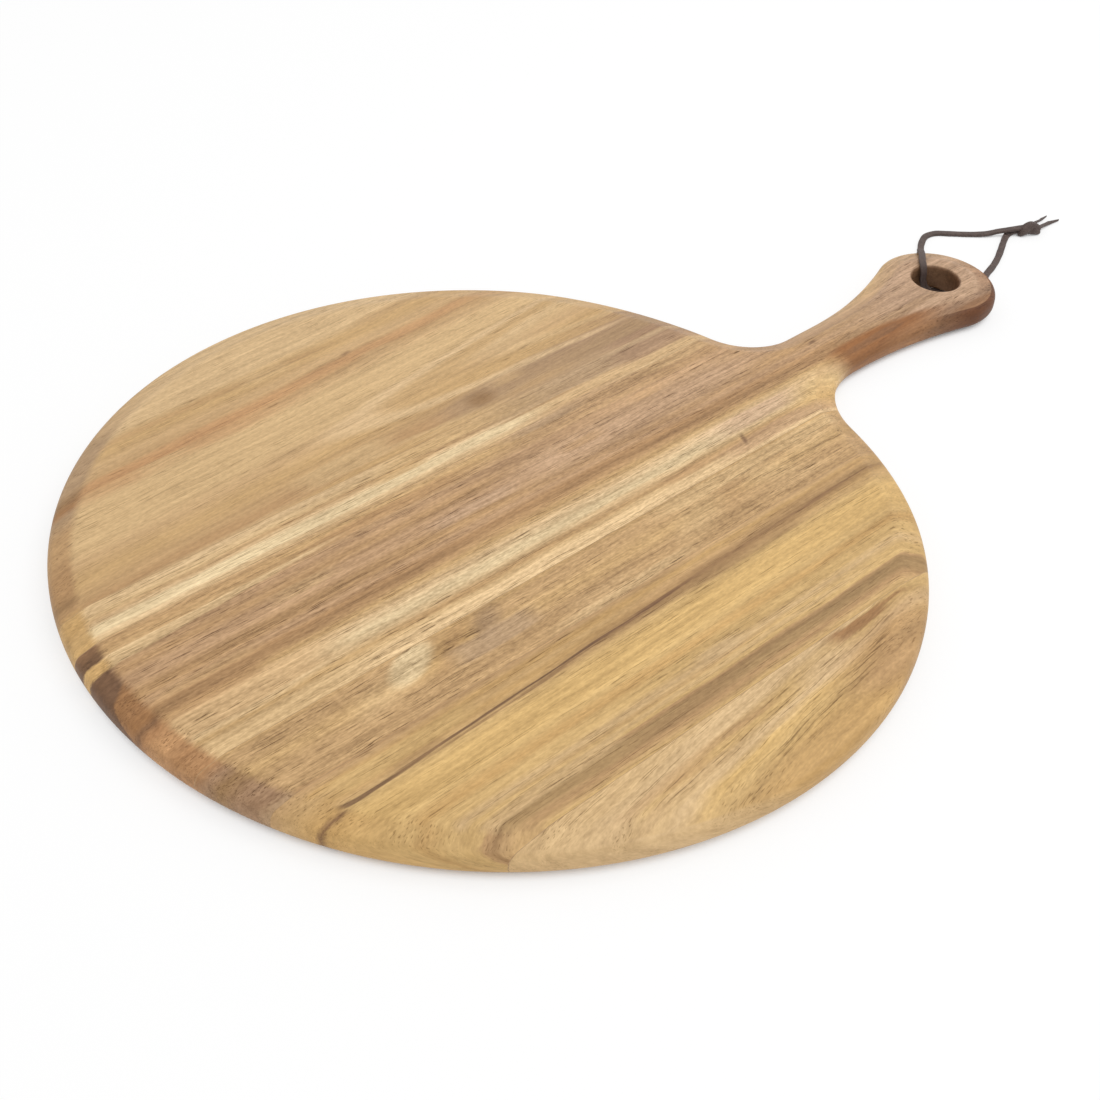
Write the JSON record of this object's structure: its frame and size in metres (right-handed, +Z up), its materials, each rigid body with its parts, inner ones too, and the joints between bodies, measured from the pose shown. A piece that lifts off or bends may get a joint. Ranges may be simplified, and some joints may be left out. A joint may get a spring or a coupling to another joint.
{
  "type": "round serving board",
  "caption": "Round paddle serving board of edge-glued wooden staves with rounded rim, handle, hanging hole and a knotted leather thong; carries food at table and hangs up by the thong.",
  "frame": {"origin": "centre of the disc on the flat underside that the board stands on", "axes": "+X along the handle and the grain, from the disc's centre to the handle's tip; +Y across the staves; +Z up from the underside to the serving face"},
  "size_m": [0.6048, 0.355, 0.0172],
  "materials": {
    "rim_stave_near": "oiled pale golden acacia",
    "broad_stave_near": "oiled golden acacia with a dark mineral streak",
    "narrow_stave_near": "oiled mottled brown acacia",
    "handle_stave": "oiled pinkish brown acacia with pale sapwood",
    "narrow_stave_far": "oiled cream sapwood",
    "broad_stave_far": "oiled tan acacia, flat sawn",
    "glue": "set wood glue, sanded flush",
    "leather": "matt dark brown lace leather"
  },
  "bodies": {
    "board": {"rim_stave_near": "rim_stave_near", "broad_stave_near": "broad_stave_near", "narrow_stave_near": "narrow_stave_near", "handle_stave": "handle_stave", "narrow_stave_far": "narrow_stave_far", "broad_stave_far": "broad_stave_far", "glue_line_1": "glue", "glue_line_2": "glue", "glue_line_3": "glue", "glue_line_4": "glue", "glue_line_5": "glue", "thong_wrap": "leather"},
    "thong": {"thong_over": "leather", "thong_under": "leather", "thong_knot": "leather", "thong_tail_long": "leather", "thong_tail_short": "leather"}
  },
  "joints": [
    {"name": "thong_swing", "type": "hinge", "parent": "board", "child": "thong", "pos_m": [0.3336, -0.0054, 0.00185], "axis": [0.3376, -0.9335, -0.1212], "range_deg": [0, 90]}
  ]
}
